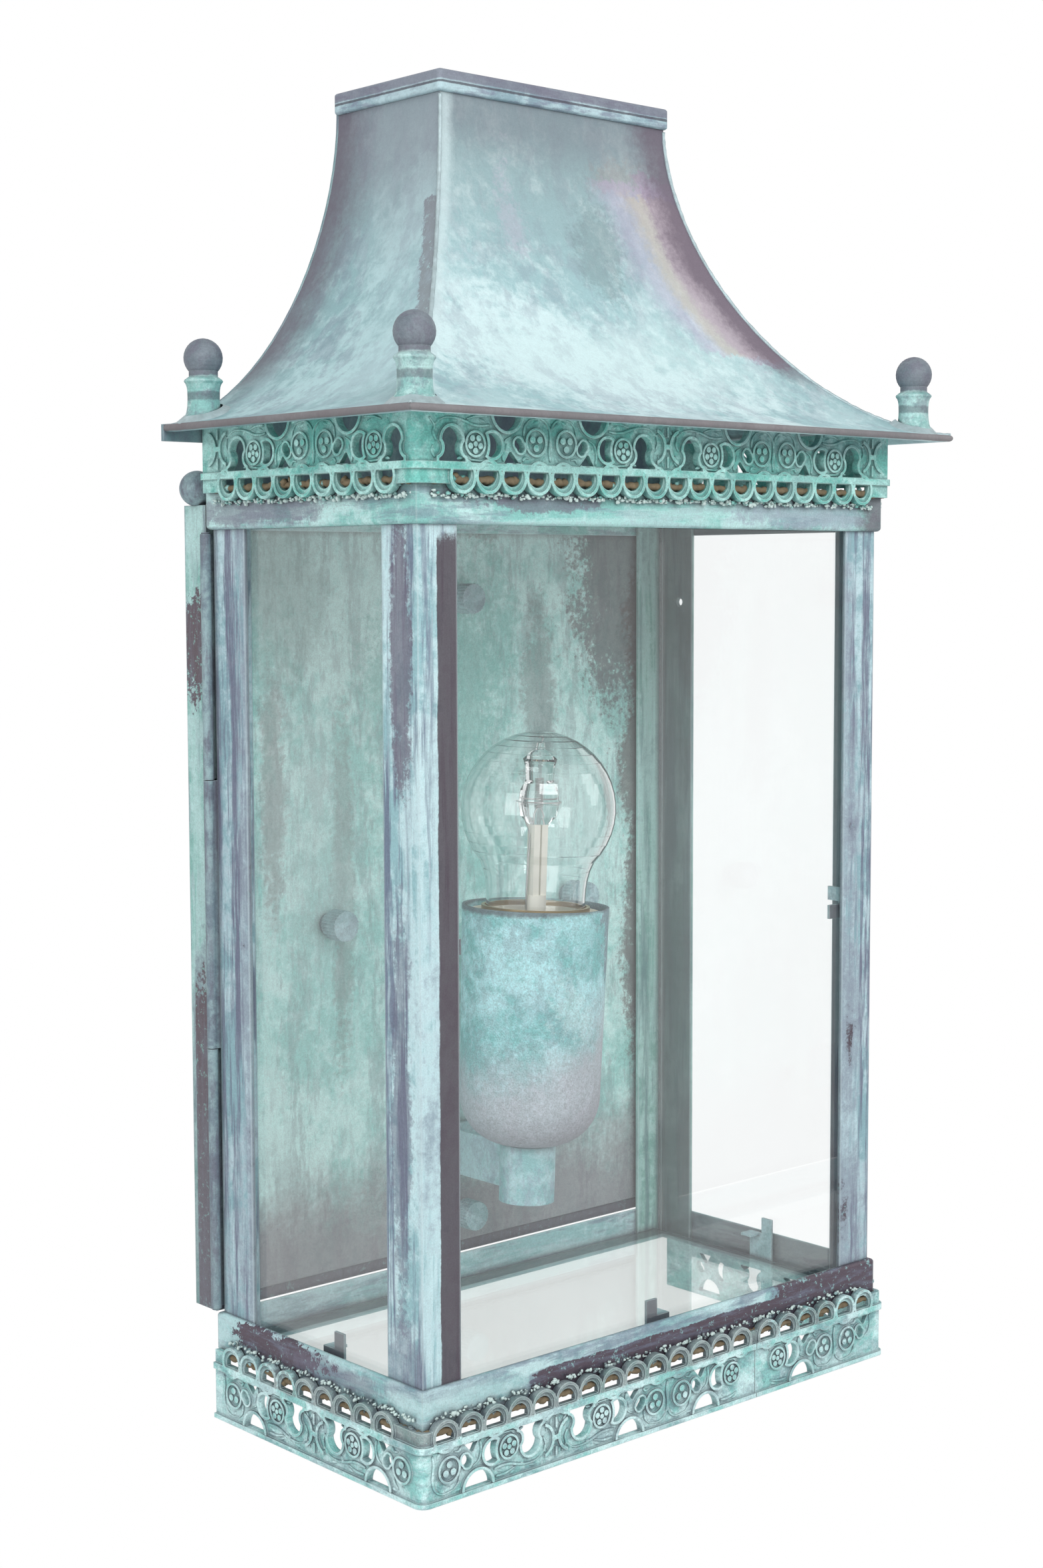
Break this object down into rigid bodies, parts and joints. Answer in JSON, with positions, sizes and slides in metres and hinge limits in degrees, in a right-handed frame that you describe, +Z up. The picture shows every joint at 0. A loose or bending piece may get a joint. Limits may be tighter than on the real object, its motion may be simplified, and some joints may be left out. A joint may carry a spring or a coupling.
{
  "type": "wall lantern",
  "caption": "Glazed wall lantern with a swept roof, pierced gallery and skirt, corner finials, a lamp cup on a wall box, and a body that swings open on a side hinge.",
  "frame": {"origin": "the middle of the wall box's back face, on the wall", "axes": "+Y into the wall, so the lantern faces -Y, +X to the right seen from the front, +Z up"},
  "size_m": [0.2738, 0.1568, 0.4958],
  "materials": {
    "verdigris_brass": "weathered verdigris patina",
    "roof_brass": "pale verdigris over dark brass",
    "dark_brass": "dark brown-purple patina",
    "raw_brass": "dull brass",
    "steel": "brushed",
    "clear_glass": "clear",
    "ceramic": "matte",
    "rubber": "matte"
  },
  "bodies": {
    "wall": {"wall_box": "verdigris_brass", "back_plate": "verdigris_brass", "plate_studs": "raw_brass", "thumb_nuts": "dark_brass", "cable_grommet": "rubber", "terminal_block": "ceramic", "corner_ball_left": "dark_brass", "corner_ball_right": "dark_brass", "hinge_leaf_wall": "dark_brass", "hinge_pin": "raw_brass", "lamp_arm": "verdigris_brass", "lamp_spigot": "verdigris_brass", "lamp_cup": "verdigris_brass", "holder_nipple": "raw_brass", "lampholder": "ceramic", "holder_ring": "raw_brass", "bulb_glass": "clear_glass", "bulb_cap": "steel", "bulb_stem": "ceramic", "bulb_capsule": "clear_glass"},
    "lantern": {"hinge_leaf_body": "dark_brass", "post_front_left": "verdigris_brass", "post_front_right": "verdigris_brass", "post_rear_left": "verdigris_brass", "post_rear_right": "verdigris_brass", "base_rail": "verdigris_brass", "top_rail": "verdigris_brass", "pane_front": "clear_glass", "pane_left": "clear_glass", "pane_right": "clear_glass", "pane_floor": "clear_glass", "clips_front": "dark_brass", "clips_left": "dark_brass", "clips_right": "dark_brass", "gallery": "verdigris_brass", "skirt_left": "verdigris_brass", "skirt_right": "verdigris_brass", "roof_front": "roof_brass", "roof_left": "roof_brass", "roof_right": "roof_brass", "roof_back": "roof_brass", "roof_cap": "roof_brass", "finial_front_left": "dark_brass", "finial_front_right": "dark_brass", "finial_rear_left": "dark_brass", "finial_rear_right": "dark_brass"}
  },
  "joints": [
    {"name": "lantern_swing", "type": "hinge", "parent": "wall", "child": "lantern", "pos_m": [-0.1185, -0.01545, 0], "axis": [0, 0, -1], "range_deg": [0, 55]}
  ]
}
